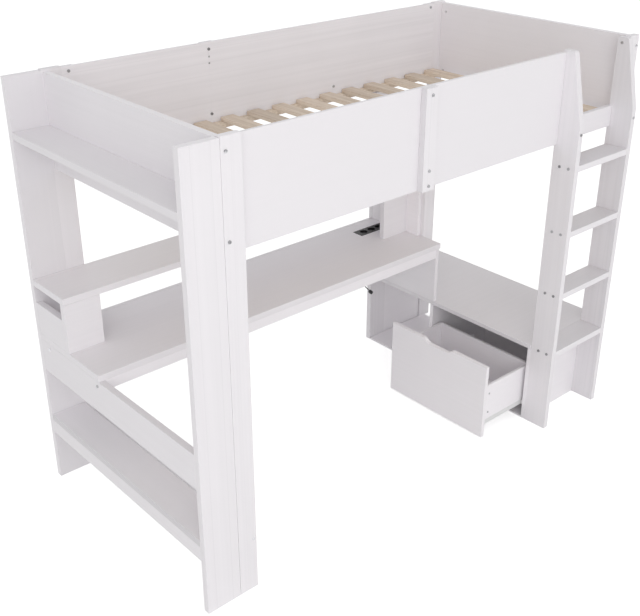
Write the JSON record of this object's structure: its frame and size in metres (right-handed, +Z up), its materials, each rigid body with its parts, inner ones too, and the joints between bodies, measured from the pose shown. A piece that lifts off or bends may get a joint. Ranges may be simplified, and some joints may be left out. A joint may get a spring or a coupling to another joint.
{
  "type": "cabin bed",
  "caption": "High single bed with guard panels over a desk with a raised shelf, open end shelves, a drawer cabinet with a finger cut-out and a ladder with broad treads.",
  "frame": {"origin": "middle of the bed's outline, on the floor", "axes": "+X along the bed from the shelf wing to the ladder end, +Y from the ladder side to the wall side, +Z up"},
  "size_m": [2.141, 1.093, 1.588],
  "materials": {
    "white_board": "white satin lacquer",
    "pine": "planed, uncoated",
    "black_plastic": "fine matt",
    "black_cable": "smooth sheath",
    "dark_steel": "dark oxide",
    "zinc_steel": "zinc plated",
    "white_steel": "white powder coat"
  },
  "bodies": {
    "bed": {"wing_board_front": "white_board", "wing_board_back": "white_board", "front_left_post": "white_board", "back_left_post": "white_board", "front_right_post": "white_board", "back_right_post": "white_board", "mid_back_post": "white_board", "inner_post": "white_board", "ladder_upright_left": "white_board", "ladder_upright_right": "white_board", "ladder_tread_1": "white_board", "ladder_tread_2": "white_board", "ladder_tread_3": "white_board", "ladder_tread_4": "white_board", "left_end_panel": "white_board", "right_end_panel": "white_board", "front_guard_left": "white_board", "front_guard_right": "white_board", "front_seam_board": "white_board", "back_guard_left": "white_board", "back_guard_right": "white_board", "back_guard_cleats": "white_board", "side_rail_front": "white_board", "side_rail_back": "white_board", "ladder_gap_rail": "white_board", "slat_ledges": "pine", "slats": "pine", "top_shelf": "white_board", "lower_shelf": "white_board", "lower_shelf_apron": "white_board", "lower_stretcher": "white_board", "end_rail": "white_board", "desktop": "white_board", "desk_front_apron": "white_board", "desk_rear_apron": "white_board", "desk_back_rail": "white_board", "desk_support_panel": "white_board", "raised_shelf": "white_board", "raised_shelf_supports": "white_board", "raised_shelf_left_end": "white_board", "raised_shelf_right_end": "white_board", "power_strip_body": "black_plastic", "power_strip_sockets": "black_plastic", "power_lead": "black_cable", "lead_connector": "black_cable", "cabinet_top": "white_board", "cabinet_front_panel": "white_board", "cabinet_divider": "white_board", "cabinet_rear_panel": "white_board", "cabinet_end_panel": "white_board", "cabinet_base": "white_board", "cabinet_runners": "white_steel", "frame_bolts": "dark_steel", "barrel_nuts": "zinc_steel"},
    "drawer": {"drawer_front": "white_board", "drawer_sides": "white_board", "drawer_back": "white_board", "drawer_bottom": "white_board", "drawer_runners": "white_steel", "drawer_screws": "dark_steel"}
  },
  "joints": [
    {"name": "drawer_slide", "type": "slide", "parent": "bed", "child": "drawer", "axis": [1, 0, 0], "range_m": [0, 0.2625]}
  ]
}
